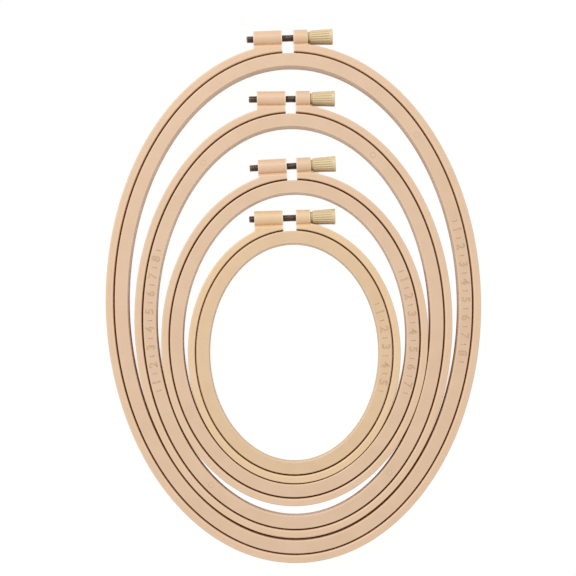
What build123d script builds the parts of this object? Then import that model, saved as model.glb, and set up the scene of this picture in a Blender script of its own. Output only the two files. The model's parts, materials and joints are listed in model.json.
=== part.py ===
from build123d import *
from dataclasses import dataclass
from math import cos, radians, sin, sqrt, tan
import os

# A nested set of four oval embroidery hoops, moulded in wood-coloured plastic.
# Each hoop is an inner ring held inside a split outer ring, which a clamp screw draws together.
# The set lies on its back faces at Z = 0, with the front faces up.
# X runs along the clamp screws towards their knobs, and Y up the long axis, towards the clasps.
# The origin is the middle of the whole set, on the surface that it lies on.

# Rings, the same section in every hoop
ring_depth = 9.0
ring_gap = 0.9
edge_round = 0.7
overrun = 2.0

# Lugs of the outer ring: barrels round the clamp screw, each on a web that is flush with the ring
lug_diameter = 8.9
long_lug_length = 16.1
short_lug_length = 8.1
lug_edge_round = 0.35
shoulder_drop = 5.1
neck_drop = 3.6
neck_depth = 4.8
short_lug_bore = 4.4
long_lug_bore = 4.6

# Clamp screw, M4, moulded into its knob
screw_diameter = 4.0
screw_reach = 35.1
screw_tip_chamfer = 0.4
screw_anchor_across_flats = 5.4
screw_anchor_length = 2.0
screw_grip_length = 8.0

# Knob: a neck that bears on the short lug, then a flaring ribbed grip
knob_neck_diameter = 6.2
knob_neck_length = 0.6
knob_bearing_gap = 0.1
knob_length = 13.2
knob_lug_end_diameter = 7.6
knob_far_end_diameter = 8.8
knob_collar_length = 0.9
knob_rim_length = 1.7
knob_rib_count = 18
knob_groove_radius = 0.34
knob_edge_round = 0.3

# Threaded brass insert in the long lug, on the slot's side
insert_diameter = 5.8
insert_length = 10.0
insert_bore = 4.45
insert_recess = 0.3
insert_groove_width = 1.2
insert_groove_depth = 0.3
moulded_in_clearance = 0.02

# Knuckle that stands for the springy bottom of the outer ring, where its two halves turn
knuckle_share = 0.68
knuckle_clearance = 0.12

# Large hoop: outside size, outer ring's wall at its sides and ends, width of the inner ring's face
large_width = 210.0
large_height = 290.6
large_side_wall = 4.2
large_end_wall = 4.4
large_face = 7.4
large_slot = 6.4
large_slot_offset = -0.6
large_screw_rise = 3.9
large_lean_deg = 1.0
large_clasp_tilt_deg = 1.0

# Medium hoop: it lies in the large one with this much room at each side, over its knob and at the bottom
medium_side_room = 3.6
medium_knob_room = 8.1
medium_bottom_room = 1.5
medium_side_shift = 0.0
medium_side_wall = 4.0
medium_end_wall = 4.0
medium_face = 7.4
medium_slot = 5.6
medium_slot_offset = 0.65
medium_screw_rise = 3.9
medium_lean_deg = 1.0
medium_clasp_tilt_deg = -0.4

# Small hoop, in the medium one
small_side_room = 2.0
small_knob_room = 12.6
small_bottom_room = 5.3
small_side_shift = 0.75
small_side_wall = 4.0
small_end_wall = 4.1
small_face = 7.2
small_slot = 5.5
small_slot_offset = -2.8
small_screw_rise = 3.4
small_lean_deg = -0.6
small_clasp_tilt_deg = 3.7

# Mini hoop, in the small one
mini_side_room = 3.0
mini_knob_room = 3.2
mini_bottom_room = 0.6
mini_side_shift = -0.25
mini_side_wall = 3.9
mini_end_wall = 4.1
mini_face = 7.2
mini_slot = 7.3
mini_slot_offset = -2.15
mini_screw_rise = 2.5
mini_lean_deg = 0.4
mini_clasp_tilt_deg = 1.6


@dataclass
class Hoop:
    """One hoop's own sizes. half_x and half_y are the outer ring's outside semi-axes."""

    name: str
    half_x: float
    half_y: float
    centre_x: float
    centre_y: float
    side_wall: float
    end_wall: float
    face: float
    slot: float
    slot_offset: float
    screw_rise: float
    lean_deg: float
    clasp_tilt_deg: float

    def semi_axes(self, inset_x, inset_y):
        """Semi-axes of an ellipse that lies this far inside the outer ring's outside."""
        return self.half_x - inset_x, self.half_y - inset_y

    def outer_hole(self):
        return self.semi_axes(self.side_wall, self.end_wall)

    def inner_outside(self):
        return self.semi_axes(self.side_wall + ring_gap, self.end_wall + ring_gap)

    def opening(self):
        inset = ring_gap + self.face
        return self.semi_axes(self.side_wall + inset, self.end_wall + inset)

    def place(self):
        """The hoop's own frame: its centre on the back face, Y along its long axis."""
        return Pos(self.centre_x, self.centre_y, 0) * Rot(0, 0, self.lean_deg)

    def screw_axis_y(self):
        return self.half_y + self.screw_rise

    def clasp(self):
        """The clasp's frame in the hoop's own: the slot's middle on the screw axis, X towards the knob."""
        at_slot = Pos(self.slot_offset, self.screw_axis_y(), ring_depth / 2)
        return at_slot * Rot(0, 0, self.clasp_tilt_deg)

    def flex_pivot(self):
        """Where the halves turn at the ring's bottom: square to the screw axis at the long lug's middle."""
        lug_middle = self.slot / 2 + long_lug_length / 2
        tilt = radians(self.clasp_tilt_deg)
        lug_x = self.slot_offset - lug_middle * cos(tilt)
        lug_y = self.screw_axis_y() - lug_middle * sin(tilt)
        x = lug_x + (lug_y + self.half_y) * tan(tilt)
        middle_x, middle_y = self.semi_axes(self.side_wall / 2, self.end_wall / 2)
        return x, -middle_y * sqrt(1 - (x / middle_x) ** 2)


def nested(name, around, side_room, knob_room, bottom_room, side_shift, **sizes):
    """A hoop inside the opening of the hoop around it, whose top leaves its knob's far end this room."""
    opening_x, opening_y = around.opening()
    knob_end = sizes["slot_offset"] + sizes["slot"] / 2 + short_lug_length
    knob_end += knob_bearing_gap + knob_neck_length + knob_length
    opening_drop = opening_y * (1 - sqrt(1 - (knob_end / opening_x) ** 2))
    top_room = opening_drop + knob_room + knob_far_end_diameter / 2 + sizes["screw_rise"]
    return Hoop(
        name,
        half_x=opening_x - side_room,
        half_y=opening_y - (top_room + bottom_room) / 2,
        centre_x=around.centre_x + side_shift,
        centre_y=around.centre_y + (bottom_room - top_room) / 2,
        **sizes,
    )


large = Hoop(
    "large",
    half_x=large_width / 2,
    half_y=large_height / 2,
    centre_x=0,
    centre_y=0,
    side_wall=large_side_wall,
    end_wall=large_end_wall,
    face=large_face,
    slot=large_slot,
    slot_offset=large_slot_offset,
    screw_rise=large_screw_rise,
    lean_deg=large_lean_deg,
    clasp_tilt_deg=large_clasp_tilt_deg,
)
medium = nested(
    "medium",
    large,
    medium_side_room,
    medium_knob_room,
    medium_bottom_room,
    medium_side_shift,
    side_wall=medium_side_wall,
    end_wall=medium_end_wall,
    face=medium_face,
    slot=medium_slot,
    slot_offset=medium_slot_offset,
    screw_rise=medium_screw_rise,
    lean_deg=medium_lean_deg,
    clasp_tilt_deg=medium_clasp_tilt_deg,
)
small = nested(
    "small",
    medium,
    small_side_room,
    small_knob_room,
    small_bottom_room,
    small_side_shift,
    side_wall=small_side_wall,
    end_wall=small_end_wall,
    face=small_face,
    slot=small_slot,
    slot_offset=small_slot_offset,
    screw_rise=small_screw_rise,
    lean_deg=small_lean_deg,
    clasp_tilt_deg=small_clasp_tilt_deg,
)
mini = nested(
    "mini",
    small,
    mini_side_room,
    mini_knob_room,
    mini_bottom_room,
    mini_side_shift,
    side_wall=mini_side_wall,
    end_wall=mini_end_wall,
    face=mini_face,
    slot=mini_slot,
    slot_offset=mini_slot_offset,
    screw_rise=mini_screw_rise,
    lean_deg=mini_lean_deg,
    clasp_tilt_deg=mini_clasp_tilt_deg,
)
hoops = [large, medium, small, mini]


def oval(semi_axes, depth=ring_depth, below=0):
    """A solid oval plate from Z = -below upwards."""
    return Pos(0, 0, -below) * extrude(Ellipse(*semi_axes), depth + 2 * below)


def oval_ring(outside, hole):
    """A flat oval ring with its long edges rounded."""
    ring = oval(outside) - oval(hole, below=overrun)
    return fillet(ring.edges().filter_by(GeomType.ELLIPSE), edge_round)


def rod(diameter, start, end):
    """A round bar along X from start to end."""
    return Pos(start, 0, 0) * Rot(0, 90, 0) * extrude(Circle(diameter / 2), end - start)


def block(x_range, y_range, z_range):
    """A box between three pairs of limits."""
    sides = [high - low for low, high in (x_range, y_range, z_range)]
    middle = [(low + high) / 2 for low, high in (x_range, y_range, z_range)]
    return Pos(*middle) * Box(*sides)


def barrel(hoop, start, end):
    """The round part of a lug, about the screw axis."""
    bar = rod(lug_diameter, start, end)
    return hoop.clasp() * fillet(bar.edges().filter_by(GeomType.CIRCLE), lug_edge_round)


def web(hoop, start, end):
    """The flat plate below both barrels, flush with the ring's faces. It spans the slot until that is cut."""
    reach = hoop.screw_rise + 2 * hoop.end_wall
    plate = block((start, end), (-reach, -neck_drop), (-ring_depth / 2, ring_depth / 2))
    return hoop.clasp() * plate - oval(hoop.semi_axes(hoop.side_wall / 2, hoop.end_wall / 2), below=overrun)


def shoulders(hoop, start, end):
    """What is cut away in front and behind, where the web narrows from the full depth to the barrels."""
    face, neck = ring_depth / 2, neck_depth / 2
    corners = [
        (-shoulder_drop, face),
        (-neck_drop, neck),
        (lug_diameter, neck),
        (lug_diameter, face + overrun),
        (-shoulder_drop, face + overrun),
    ]
    outline = make_face(Polyline(*corners, close=True))
    front = Pos(start, 0, 0) * extrude(Plane.YZ * outline, end - start)
    return hoop.clasp() * front + hoop.clasp() * mirror(front, Plane.XY)


def long_lug_span(hoop):
    return -hoop.slot / 2 - long_lug_length, -hoop.slot / 2


def short_lug_span(hoop):
    return hoop.slot / 2, hoop.slot / 2 + short_lug_length


def insert_span(hoop):
    """The thread insert's two ends along the screw axis."""
    end = long_lug_span(hoop)[1] - insert_recess
    return end - insert_length, end


def outer_ring(hoop):
    """The left and right halves of the split outer ring, which meet in a round knuckle at the bottom."""
    left_start, left_end = long_lug_span(hoop)
    right_start, right_end = short_lug_span(hoop)
    ring = oval_ring(hoop.semi_axes(0, 0), hoop.outer_hole())
    ring += web(hoop, left_start, right_end)
    ring -= shoulders(hoop, left_start, right_end)
    ring += barrel(hoop, left_start, left_end)
    ring += barrel(hoop, right_start, right_end)

    slot_reach = hoop.screw_rise + 2 * hoop.end_wall
    ring -= hoop.clasp() * block(
        (left_end, right_start),
        (-slot_reach, lug_diameter),
        (-ring_depth, ring_depth),
    )
    ring -= hoop.clasp() * rod(long_lug_bore, left_start - overrun, left_end + overrun)
    ring -= hoop.clasp() * rod(short_lug_bore, right_start - overrun, right_end + overrun)
    seat_start = insert_span(hoop)[0] - moulded_in_clearance
    seat_diameter = insert_diameter + 2 * moulded_in_clearance
    ring -= hoop.clasp() * rod(seat_diameter, seat_start, left_end + overrun)

    pivot_x, pivot_y = hoop.flex_pivot()
    far_x = hoop.half_x + overrun
    far_y = hoop.half_y + hoop.screw_rise + lug_diameter
    heights = (-overrun, ring_depth + overrun)
    left_side = block((-far_x, hoop.slot_offset), (0, far_y), heights)
    left_side += block((-far_x, pivot_x), (-far_y, 0), heights)
    knuckle_radius = knuckle_share * hoop.end_wall
    knuckle = Pos(pivot_x, pivot_y, -overrun) * extrude(Circle(knuckle_radius), heights[1] - heights[0])
    socket_circle = Circle(knuckle_radius + knuckle_clearance)
    socket = Pos(pivot_x, pivot_y, -overrun) * extrude(socket_circle, heights[1] - heights[0])
    left = ring & (left_side + knuckle)
    right = ring - left_side - socket
    return left, right


def inner_ring(hoop):
    return oval_ring(hoop.inner_outside(), hoop.opening())


def anchor(across_flats, start, end):
    """A six-sided bar along X, which keeps the screw from turning in the knob."""
    side = Plane.YZ * RegularPolygon(across_flats / 2, 6, major_radius=False)
    return Pos(start, 0, 0) * extrude(side, end - start)


def knob_start(hoop):
    """Where the knob's neck begins along the screw axis."""
    return short_lug_span(hoop)[1] + knob_bearing_gap


def clamp_screw(hoop):
    face = knob_start(hoop) + knob_neck_length
    shank = rod(screw_diameter, face - screw_reach, face + screw_grip_length)
    tip = shank.edges().filter_by(GeomType.CIRCLE).sort_by(Axis.X)[0]
    shank = chamfer(tip, screw_tip_chamfer)
    grip_end = face + screw_grip_length
    head = anchor(screw_anchor_across_flats, grip_end - screw_anchor_length, grip_end)
    return hoop.clasp() * (shank + head)


def knob(hoop):
    """Flaring grip with grooves between its ribs, a smooth collar and a smooth rim."""
    start = knob_start(hoop)
    face = start + knob_neck_length
    end = face + knob_length
    near, far = knob_lug_end_diameter / 2, knob_far_end_diameter / 2
    outline = Polyline((face, 0), (face, near), (end, far), (end, 0), close=True)
    grip = revolve(make_face(outline), Axis.X)
    grip = fillet(grip.edges().filter_by(GeomType.CIRCLE), knob_edge_round)
    grip += rod(knob_neck_diameter, start, face)

    flare = (far - near) / knob_length
    groove_start, groove_end = face + knob_collar_length, end - knob_rim_length
    start_radius = near + flare * knob_collar_length
    end_radius = far - flare * knob_rim_length
    path = Line((groove_start, start_radius, 0), (groove_end, end_radius, 0))
    groove = sweep(Plane(path @ 0, z_dir=path % 0) * Circle(knob_groove_radius), path)
    for index in range(knob_rib_count):
        grip -= Rot(360 / knob_rib_count * index, 0, 0) * groove

    grip_end = face + screw_grip_length
    hole = screw_diameter + 2 * moulded_in_clearance
    grip -= rod(hole, start - overrun, grip_end)
    head_start = grip_end - screw_anchor_length - moulded_in_clearance
    head_flats = screw_anchor_across_flats + 2 * moulded_in_clearance
    grip -= anchor(head_flats, head_start, grip_end + moulded_in_clearance)
    return hoop.clasp() * grip


def thread_insert(hoop):
    """Brass bush with a groove round its middle, which the plastic of the lug grips."""
    start, end = insert_span(hoop)
    middle = (start + end) / 2
    groove_ends = middle - insert_groove_width / 2, middle + insert_groove_width / 2
    bush = rod(insert_diameter, start, end)
    bush -= rod(insert_diameter, *groove_ends) - rod(insert_diameter - 2 * insert_groove_depth, *groove_ends)
    bush -= rod(insert_bore, start - overrun, end + overrun)
    return hoop.clasp() * bush


nodes = {}
for hoop in hoops:
    left, right = outer_ring(hoop)
    pieces = {
        "outer_ring_left": left,
        "outer_ring_right": right,
        "inner_ring": inner_ring(hoop),
        "clamp_screw": clamp_screw(hoop),
        "knob": knob(hoop),
        "thread_insert": thread_insert(hoop),
    }
    for name, piece in pieces.items():
        nodes[f"{hoop.name}_{name}"] = hoop.place() * piece

box = Compound([solid for piece in nodes.values() for solid in piece.solids()]).bounding_box()
to_origin = Pos(-box.center().X, -box.center().Y, -box.min.Z)

os.makedirs("parts", exist_ok=True)
for name, piece in nodes.items():
    export_step(to_origin * piece, f"parts/{name}.step")

for hoop in hoops:
    print(hoop.name, "hoop outside", round(2 * hoop.half_x, 1), "x", round(2 * hoop.half_y, 1), "mm")
print("whole set", [round(side, 2) for side in box.size])
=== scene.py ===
# %% [markdown]
# # Dressing a nested set of four oval embroidery hoops
# Each hoop is an inner ring inside a split outer ring. A clamp screw with a ribbed knob draws the
# split together. The frame holds the real sizes and joints, in metres, with the set lying flat.
# Here every hoop gets its finished shapes and its materials, built around that frame.

# %% Load the frame
import json
from dataclasses import dataclass
from math import acos, asin, atan2, cos, pi, radians, sin, sqrt

import bmesh
import bpy
from mathutils import Matrix, Vector


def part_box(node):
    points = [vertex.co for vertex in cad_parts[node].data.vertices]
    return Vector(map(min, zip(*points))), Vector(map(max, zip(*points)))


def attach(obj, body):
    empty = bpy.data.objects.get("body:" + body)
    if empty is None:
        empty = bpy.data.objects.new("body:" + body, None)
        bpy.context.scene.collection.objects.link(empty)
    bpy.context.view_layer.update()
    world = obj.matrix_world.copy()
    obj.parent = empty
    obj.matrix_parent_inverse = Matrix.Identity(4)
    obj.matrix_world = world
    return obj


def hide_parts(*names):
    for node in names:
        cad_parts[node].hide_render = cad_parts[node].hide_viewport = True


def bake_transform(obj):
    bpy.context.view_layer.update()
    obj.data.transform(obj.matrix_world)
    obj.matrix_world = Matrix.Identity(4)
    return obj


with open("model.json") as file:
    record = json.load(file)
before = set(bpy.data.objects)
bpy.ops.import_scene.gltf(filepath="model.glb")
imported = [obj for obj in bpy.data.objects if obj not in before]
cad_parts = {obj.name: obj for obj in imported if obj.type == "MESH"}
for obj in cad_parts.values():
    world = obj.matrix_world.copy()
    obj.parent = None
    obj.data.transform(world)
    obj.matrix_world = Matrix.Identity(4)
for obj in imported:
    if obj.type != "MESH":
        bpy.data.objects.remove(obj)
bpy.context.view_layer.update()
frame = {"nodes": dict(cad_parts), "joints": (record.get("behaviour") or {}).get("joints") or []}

# %% [markdown]
# ## Sizes
# The frame gives where each inner ring and each clamp screw lies. What it doesn't say outright, such
# as the walls and the slots, is a short table in millimetres, as a maker would note it. Both are
# brought together in one record for each hoop, so that every later piece asks the same place.

# %% Sizes that all hoops share
MM = 0.001
MICROMETRE = 0.001 * MM
RING_DEPTH = 9.0 * MM
RING_GAP = 0.9 * MM
EDGE_RADIUS = 0.7 * MM
LUG_RADIUS = 4.45 * MM
LONG_LUG = 16.1 * MM
SHORT_LUG = 8.1 * MM
SHOULDER_DROP = 5.1 * MM
NECK_DROP = 3.6 * MM
NECK_DEPTH = 4.8 * MM
RIM_RADIUS = 0.35 * MM
SCREW_RADIUS = 2.0 * MM
SCREW_REACH = 35.1 * MM
SCREW_GRIP = 8.0 * MM
THREAD_PITCH = 0.7 * MM
KNOB_GAP = 0.1 * MM
KNOB_NECK_RADIUS = 3.1 * MM
KNOB_NECK_LENGTH = 0.6 * MM
KNOB_LENGTH = 13.2 * MM
KNOB_NEAR_RADIUS = 3.8 * MM
KNOB_FAR_RADIUS = 4.4 * MM

# %% One record for each hoop
joints = {joint["name"]: joint for joint in frame["joints"]}


@dataclass
class Hoop:
    """What the pieces of one hoop need to know, in metres and radians."""

    name: str
    lean: float
    side_wall: float
    end_wall: float
    face: float
    slot: float

    def __post_init__(self):
        low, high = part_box(f"{self.name}_inner_ring")
        self.centre = (low + high) / 2
        half_x, half_y = (high.x - low.x) / 2, (high.y - low.y) / 2
        c, s = cos(self.lean) ** 2, sin(self.lean) ** 2
        self.inner_x = sqrt((half_x**2 * c - half_y**2 * s) / (c - s))
        self.inner_y = sqrt((half_y**2 * c - half_x**2 * s) / (c - s))
        turn = joints[f"{self.name}_screw_turn"]
        self.clasp_place = Vector(turn["pos_m"])
        self.clasp_direction = Vector(turn["axis"]).normalized()

    def outside(self):
        """Semi-axes of the outer ring's outside."""
        x = self.inner_x + RING_GAP + self.side_wall
        y = self.inner_y + RING_GAP + self.end_wall
        return x, y

    def clasp(self):
        """The clasp's own frame: the slot's middle on the screw axis, X towards the knob, Z up."""
        along = self.clasp_direction
        across = Vector((-along.y, along.x, 0))
        turn = Matrix((along, across, Vector((0, 0, 1)))).transposed().to_4x4()
        return Matrix.Translation(self.clasp_place) @ turn

    def clasp_to_oval(self):
        """From the clasp's frame to the oval's own, with its axes along X and Y."""
        return Matrix.Rotation(-self.lean, 4, "Z") @ Matrix.Translation(-self.centre) @ self.clasp()

    def knob_face(self):
        """Where the knob's grip begins along the screw axis."""
        return self.slot / 2 + SHORT_LUG + KNOB_GAP + KNOB_NECK_LENGTH

    def wall_below(self, x, inset_x, inset_y):
        """How far below the screw axis an oval lies, in the clasp's frame, at the distance x along it.

        The oval lies inset_x and inset_y inside the outer ring's outside."""
        half_x, half_y = self.outside()
        to_hoop = self.clasp_to_oval()
        start = to_hoop @ Vector((x, 0, 0))
        down = to_hoop.to_3x3() @ Vector((0, -1, 0))
        scale = Vector((1 / (half_x - inset_x), 1 / (half_y - inset_y), 0))
        p, d = start * scale, down * scale
        a, b, c = d.dot(d), 2 * p.dot(d), p.dot(p) - 1
        return (-b - sqrt(b * b - 4 * a * c)) / (2 * a)


def hoop_from_table(name, lean_degrees, side_wall, end_wall, face, slot):
    return Hoop(name, radians(lean_degrees), side_wall * MM, end_wall * MM, face * MM, slot * MM)


# Name, lean in degrees, then the outer ring's two walls, the inner ring's face and the slot in mm.
hoops = [
    hoop_from_table("large", 1.0, 4.2, 4.4, 7.4, 6.4),
    hoop_from_table("medium", 1.0, 4.0, 4.0, 7.4, 5.6),
    hoop_from_table("small", -0.6, 4.0, 4.1, 7.2, 5.5),
    hoop_from_table("mini", 0.4, 3.9, 4.1, 7.2, 7.3),
]
for hoop in hoops:
    size = [round(2 * half / MM, 1) for half in hoop.outside()]
    print(hoop.name, "hoop outside", size, "mm, centre", [round(v / MM, 1) for v in hoop.centre])

# %% [markdown]
# ## Small helpers
# A node tree reads better when a value, a socket or a vector can be written in the same place. These
# helpers add nodes and hand back what comes out of them. A finished modifier is turned into a plain
# mesh at once, because a piece must be final before it rides on a body.

# %% Helpers for node trees
def add_node(tree, kind, inputs=(), **settings):
    """A node of this kind, with its settings and its inputs, each a value or another node's output."""
    node = tree.nodes.new(kind)
    for name, value in settings.items():
        setattr(node, name, value)
    for name, value in dict(inputs).items():
        socket = node.inputs[name]
        if isinstance(value, bpy.types.NodeSocket):
            tree.links.new(value, socket)
        else:
            socket.default_value = value
    return node


def calculate(tree, operation, *values):
    """The result of one Math node."""
    return add_node(tree, "ShaderNodeMath", dict(enumerate(values)), operation=operation).outputs[0]


def new_geometry_tree(name, sockets):
    """A Geometry Nodes tree with named inputs. Returns it with a dict of its inputs."""
    tree = bpy.data.node_groups.new(name, "GeometryNodeTree")
    for label, kind in sockets.items():
        tree.interface.new_socket(name=label, in_out="INPUT", socket_type=f"NodeSocket{kind}")
    tree.interface.new_socket(name="Geometry", in_out="OUTPUT", socket_type="NodeSocketGeometry")
    given = tree.nodes.new("NodeGroupInput")
    return tree, {label: given.outputs[label] for label in sockets}


def end_tree(tree, geometry, material):
    """Every tree ends the same way: smooth faces, no instances, one material."""
    smooth = add_node(tree, "GeometryNodeSetShadeSmooth", {"Geometry": geometry})
    real = add_node(tree, "GeometryNodeRealizeInstances", {"Geometry": smooth.outputs[0]})
    painted = add_node(tree, "GeometryNodeSetMaterial",
                       {"Geometry": real.outputs[0], "Material": material})
    add_node(tree, "NodeGroupOutput", {"Geometry": painted.outputs[0]})


def move_outwards(tree, geometry, at, distance):
    """Moves every point straight away from the X axis. A negative distance presses it in."""
    flat = add_node(tree, "ShaderNodeCombineXYZ", {"Y": at["Y"], "Z": at["Z"]}).outputs[0]
    outwards = add_node(tree, "ShaderNodeVectorMath", {0: flat}, operation="NORMALIZE").outputs[0]
    offset = add_node(tree, "ShaderNodeVectorMath", {0: outwards, "Scale": distance}, operation="SCALE")
    return add_node(tree, "GeometryNodeSetPosition",
                    {"Geometry": geometry, "Offset": offset.outputs[0]}).outputs[0]


# %% Helpers for objects
def new_object(name, mesh=None):
    piece = bpy.data.objects.new(name, mesh or bpy.data.meshes.new(name))
    bpy.context.scene.collection.objects.link(piece)
    return piece


def settle(piece):
    """Turns what the modifiers make into the piece's own plain mesh."""
    bpy.context.view_layer.update()
    evaluated = piece.evaluated_get(bpy.context.evaluated_depsgraph_get())
    mesh = bpy.data.meshes.new_from_object(evaluated)
    piece.modifiers.clear()
    piece.data = mesh
    return piece


def grow(piece, tree, **values):
    """Runs a Geometry Nodes tree on the piece, with the named inputs, and settles the result."""
    modifier = piece.modifiers.new(tree.name, "NODES")
    modifier.node_group = tree
    sockets = [item for item in tree.interface.items_tree if item.in_out == "INPUT"]
    identifiers = {socket.name: socket.identifier for socket in sockets}
    for name, value in values.items():
        modifier[identifiers[name.replace("_", " ").capitalize()]] = value
    return settle(piece)


def cut_or_join(piece, other, operation):
    """An exact boolean with another object, which is used up."""
    modifier = piece.modifiers.new(operation.lower(), "BOOLEAN")
    modifier.operation = operation
    modifier.solver = "EXACT"
    modifier.object = other
    settle(piece)
    bpy.data.objects.remove(other)
    return piece


def lathe(name, outline, sides):
    """A closed solid of revolution about X from an outline of (x, radius) points, ends included."""
    shape = bmesh.new()
    rows = []
    for x, radius in outline:
        if radius < MICROMETRE:
            rows.append([shape.verts.new((x, 0, 0))])
            continue
        angles = [2 * pi * side / sides for side in range(sides)]
        rows.append([shape.verts.new((x, radius * cos(a), radius * sin(a))) for a in angles])
    for row, after in zip(rows, rows[1:]):
        for side in range(sides):
            turn = (side + 1) % sides
            corners = [row[side % len(row)], row[turn % len(row)],
                       after[turn % len(after)], after[side % len(after)]]
            shape.faces.new(list(dict.fromkeys(corners)))
    bmesh.ops.recalc_face_normals(shape, faces=shape.faces)
    mesh = bpy.data.meshes.new(name)
    shape.to_mesh(mesh)
    shape.free()
    return new_object(name, mesh)


def finish_shading(piece, sharp_angle):
    """Smooth shading with crisp flats: the large faces keep their own direction."""
    piece.data.shade_smooth()
    piece.data.set_sharp_from_angle(angle=sharp_angle)
    modifier = piece.modifiers.new("crisp flats", "WEIGHTED_NORMAL")
    modifier.keep_sharp = True
    return settle(piece)


def arc(centre_x, centre_r, radius, start_degrees, end_degrees, steps=5):
    """Points of a round corner on a lathe outline, from one direction to another."""
    angles = [radians(start_degrees + (end_degrees - start_degrees) * i / steps) for i in range(steps + 1)]
    return [(centre_x + radius * cos(a), centre_r + radius * sin(a)) for a in angles]


# %% [markdown]
# ## Materials
# The real hoops are satin plastic in a pinkish beige, the smallest one a little yellower. Close up
# the plastic has faint cloudy patches, a fine grain, and edges that handling has polished. The edges
# also get a painted highlight, and gaps and hollows get painted shade. These effects serve every
# plastic and metal here, so each is a node group with its own inputs.

# %% Effects as node groups
def new_effect(name, inputs, outputs):
    """A shader node group with named inputs and outputs."""
    tree = bpy.data.node_groups.new(name, "ShaderNodeTree")
    for label, (kind, value) in inputs.items():
        socket = tree.interface.new_socket(name=label, in_out="INPUT", socket_type=f"NodeSocket{kind}")
        socket.default_value = value
    for label, kind in outputs.items():
        tree.interface.new_socket(name=label, in_out="OUTPUT", socket_type=f"NodeSocket{kind}")
    given = tree.nodes.new("NodeGroupInput")
    return tree, given.outputs


def noise(tree, where, scale, detail, roughness=0.5):
    inputs = {"Vector": where, "Scale": scale, "Detail": detail, "Roughness": roughness}
    return add_node(tree, "ShaderNodeTexNoise", inputs).outputs["Fac"]


def remap(tree, value, low, high, to_low=0.0, to_high=1.0):
    inputs = {"Value": value, "From Min": low, "From Max": high, "To Min": to_low, "To Max": to_high}
    return add_node(tree, "ShaderNodeMapRange", inputs).outputs["Result"]


def blend_colours(tree, share, first, second, mode="MIX"):
    """A Mix node for colours, which are its inputs 6 and 7 and its output 2."""
    inputs = {0: share, 6: first, 7: second}
    return add_node(tree, "ShaderNodeMix", inputs, data_type="RGBA", blend_type=mode).outputs[2]


def occlusion(tree, reach, samples, inside=False):
    """How open the surroundings are within reach, from 0 to 1."""
    return add_node(tree, "ShaderNodeAmbientOcclusion", {"Distance": reach},
                    samples=samples, inside=inside).outputs["AO"]


def moulded_cloud():
    """Cloudy patches and a fine grain, as in plastic that flowed into a mould."""
    tree, given = new_effect(
        "moulded cloud",
        {"Colour": ("Color", (0.8, 0.8, 0.8, 1)), "Patch colour": ("Color", (0.7, 0.7, 0.7, 1)),
         "Patch size": ("Float", 70.0), "Grain size": ("Float", 2600.0), "Gloss": ("Float", 0.4)},
        {"Colour": "Color", "Roughness": "Float", "Height": "Float"},
    )
    where = add_node(tree, "ShaderNodeTexCoord").outputs["Object"]
    patches = noise(tree, where, given["Patch size"], 3.0, 0.6)
    grain = noise(tree, where, given["Grain size"], 2.0)
    share = remap(tree, patches, 0.35, 0.7)
    colour = blend_colours(tree, share, given["Colour"], given["Patch colour"])
    speckle = remap(tree, grain, 0.3, 0.7, 0.96, 1.03)
    colour = blend_colours(tree, 1.0, colour, speckle, "MULTIPLY")
    roughness = calculate(tree, "ADD", given["Gloss"], remap(tree, patches, 0.3, 0.7, -0.05, 0.06))
    add_node(tree, "NodeGroupOutput", {"Colour": colour, "Roughness": roughness, "Height": grain})
    return tree


CREVICE_REACH = 6.0 * MM
EDGE_REACH = 0.9 * MM


def paint_highlight_and_shade():
    """A painted highlight on the edges, which are also smoother, and painted shade in gaps and hollows,
    which also lose their shine.

    One ambient occlusion looks inside the plastic, where it is thin at an edge, and one outside."""
    tree, given = new_effect(
        "painted highlight and shade",
        {"Colour": ("Color", (0.8, 0.8, 0.8, 1)), "Painted highlight colour": ("Color", (0.9, 0.9, 0.9, 1)),
         "Painted shade colour": ("Color", (0.3, 0.25, 0.2, 1)), "Roughness": ("Float", 0.4),
         "Painted highlight": ("Float", 0.5), "Painted shade": ("Float", 0.5)},
        {"Colour": "Color", "Roughness": "Float", "Shine": "Float"},
    )
    thin = occlusion(tree, EDGE_REACH, 6, inside=True)
    # Painted highlight: where the plastic is thin at an edge, it is painted a lighter colour.
    edge = calculate(tree, "MULTIPLY", remap(tree, thin, 0.95, 0.6), given["Painted highlight"])
    near = occlusion(tree, CREVICE_REACH, 6)
    # Painted shade: where the surroundings close in, in gaps, grooves and along inner walls, the colour is
    # painted darker.
    painted_shade_mask = calculate(tree, "MULTIPLY", remap(tree, near, 0.9, 0.25), given["Painted shade"])
    shine = remap(tree, near, 0.6, 0.2, 0.5, 0.0)
    colour = blend_colours(tree, edge, given["Colour"], given["Painted highlight colour"])
    colour = blend_colours(tree, painted_shade_mask, colour, given["Painted shade colour"])
    roughness = calculate(tree, "SUBTRACT", given["Roughness"], calculate(tree, "MULTIPLY", edge, 0.12))
    add_node(tree, "NodeGroupOutput", {"Colour": colour, "Roughness": roughness, "Shine": shine})
    return tree


cloud_effect = moulded_cloud()
painted_light_effect = paint_highlight_and_shade()


def use_effect(tree, effect, inputs):
    return add_node(tree, "ShaderNodeGroup", inputs, node_tree=effect).outputs


# %% Plastics
def new_material(name):
    material = bpy.data.materials.new(name)
    material.use_nodes = True
    tree = material.node_tree
    return material, tree, tree.nodes["Principled BSDF"]


# The edge colour is a painted highlight on edges; the darker colour is painted shade in gaps and hollows.
def lay_painted_light(tree, cloud, edge, painted_shade_colour, painted_highlight_share, painted_shade_share):
    """The painted edge highlight and the painted shade laid over a cloud effect's colour and roughness."""
    return use_effect(tree, painted_light_effect, {
        "Colour": cloud["Colour"], "Roughness": cloud["Roughness"],
        "Painted highlight colour": edge, "Painted shade colour": painted_shade_colour, "Painted highlight": painted_highlight_share, "Painted shade": painted_shade_share,
    })


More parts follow.
